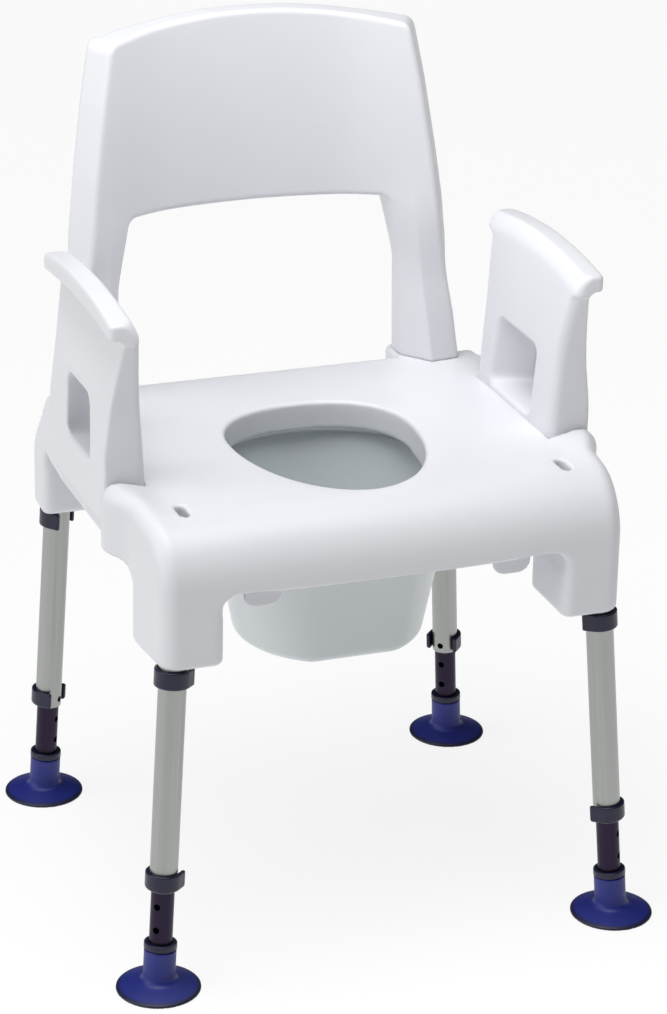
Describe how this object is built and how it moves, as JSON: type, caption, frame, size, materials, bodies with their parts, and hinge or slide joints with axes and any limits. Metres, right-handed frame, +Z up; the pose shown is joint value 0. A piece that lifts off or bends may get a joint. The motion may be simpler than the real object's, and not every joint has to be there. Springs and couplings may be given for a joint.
{
  "type": "shower chair",
  "caption": "Shower and commode chair with moulded seat, lift-off back and armrests, slide-out pan and telescopic legs on suction feet.",
  "frame": {"origin": "on the floor, under the centre of the chair's box", "axes": "+Z up, +X to the chair's right as seen from the front, -Y towards the front"},
  "size_m": [0.5778, 0.5386, 0.861],
  "materials": {
    "white_plastic": "moulded polypropylene, fine satin",
    "pan_plastic": "moulded polypropylene, smooth",
    "anodised_aluminium": "satin anodised tube",
    "dark_anodised_aluminium": "dark anodised tube, satin",
    "dark_plastic": "moulded nylon, satin",
    "blue_rubber": "moulded rubber, smooth"
  },
  "bodies": {
    "frame": {"seat_shell": "white_plastic", "pan_rail_left": "white_plastic", "pan_rail_right": "white_plastic", "leg_tube_front_left": "anodised_aluminium", "leg_tube_front_right": "anodised_aluminium", "leg_tube_rear_left": "anodised_aluminium", "leg_tube_rear_right": "anodised_aluminium"},
    "backrest": {"backrest": "white_plastic"},
    "armrest_left": {"armrest_left": "white_plastic"},
    "armrest_right": {"armrest_right": "white_plastic"},
    "pan": {"pan": "pan_plastic"},
    "inner_leg_front_left": {"leg_extension_front_left": "dark_anodised_aluminium", "foot_ring_front_left": "dark_plastic", "foot_front_left": "blue_rubber"},
    "lower_clip_front_left": {"lower_clip_front_left": "dark_plastic"},
    "upper_clip_front_left": {"upper_clip_front_left": "dark_plastic"},
    "inner_leg_front_right": {"leg_extension_front_right": "dark_anodised_aluminium", "foot_ring_front_right": "dark_plastic", "foot_front_right": "blue_rubber"},
    "lower_clip_front_right": {"lower_clip_front_right": "dark_plastic"},
    "upper_clip_front_right": {"upper_clip_front_right": "dark_plastic"},
    "inner_leg_rear_left": {"leg_extension_rear_left": "dark_anodised_aluminium", "foot_ring_rear_left": "dark_plastic", "foot_rear_left": "blue_rubber"},
    "lower_clip_rear_left": {"lower_clip_rear_left": "dark_plastic"},
    "upper_clip_rear_left": {"upper_clip_rear_left": "dark_plastic"},
    "inner_leg_rear_right": {"leg_extension_rear_right": "dark_anodised_aluminium", "foot_ring_rear_right": "dark_plastic", "foot_rear_right": "blue_rubber"},
    "lower_clip_rear_right": {"lower_clip_rear_right": "dark_plastic"},
    "upper_clip_rear_right": {"upper_clip_rear_right": "dark_plastic"}
  },
  "joints": [
    {"name": "backrest_lift", "type": "slide", "parent": "frame", "child": "backrest", "axis": [0, 0, 1], "range_m": [0, 0.05]},
    {"name": "armrest_left_lift", "type": "slide", "parent": "frame", "child": "armrest_left", "axis": [0, 0, 1], "range_m": [0, 0.05]},
    {"name": "armrest_right_lift", "type": "slide", "parent": "frame", "child": "armrest_right", "axis": [0, 0, 1], "range_m": [0, 0.05]},
    {"name": "pan_slide", "type": "slide", "parent": "frame", "child": "pan", "axis": [0, 1, 0], "range_m": [0, 0.4]},
    {"name": "leg_front_left_extend", "type": "slide", "parent": "frame", "child": "inner_leg_front_left", "axis": [-0.0643, -0.0628, -0.996], "range_m": [-0.05, 0.1]},
    {"name": "lower_clip_front_left_pull", "type": "slide", "parent": "frame", "child": "lower_clip_front_left", "axis": [-0.7042, -0.7043, 0.0898], "range_m": [0, 0.04]},
    {"name": "upper_clip_front_left_pull", "type": "slide", "parent": "frame", "child": "upper_clip_front_left", "axis": [-0.7042, -0.7043, 0.0898], "range_m": [0, 0.04]},
    {"name": "leg_front_right_extend", "type": "slide", "parent": "frame", "child": "inner_leg_front_right", "axis": [0.0643, -0.0628, -0.996], "range_m": [-0.05, 0.1]},
    {"name": "lower_clip_front_right_pull", "type": "slide", "parent": "frame", "child": "lower_clip_front_right", "axis": [0.7042, -0.7043, 0.0898], "range_m": [0, 0.04]},
    {"name": "upper_clip_front_right_pull", "type": "slide", "parent": "frame", "child": "upper_clip_front_right", "axis": [0.7042, -0.7043, 0.0898], "range_m": [0, 0.04]},
    {"name": "leg_rear_left_extend", "type": "slide", "parent": "frame", "child": "inner_leg_rear_left", "axis": [-0.053, 0.0149, -0.9985], "range_m": [-0.05, 0.1]},
    {"name": "lower_clip_rear_left_pull", "type": "slide", "parent": "frame", "child": "lower_clip_rear_left", "axis": [-0.7054, 0.7072, 0.048], "range_m": [0, 0.04]},
    {"name": "upper_clip_rear_left_pull", "type": "slide", "parent": "frame", "child": "upper_clip_rear_left", "axis": [-0.7054, 0.7072, 0.048], "range_m": [0, 0.04]},
    {"name": "leg_rear_right_extend", "type": "slide", "parent": "frame", "child": "inner_leg_rear_right", "axis": [0.053, 0.0149, -0.9985], "range_m": [-0.05, 0.1]},
    {"name": "lower_clip_rear_right_pull", "type": "slide", "parent": "frame", "child": "lower_clip_rear_right", "axis": [0.7054, 0.7072, 0.048], "range_m": [0, 0.04]},
    {"name": "upper_clip_rear_right_pull", "type": "slide", "parent": "frame", "child": "upper_clip_rear_right", "axis": [0.7054, 0.7072, 0.048], "range_m": [0, 0.04]}
  ]
}
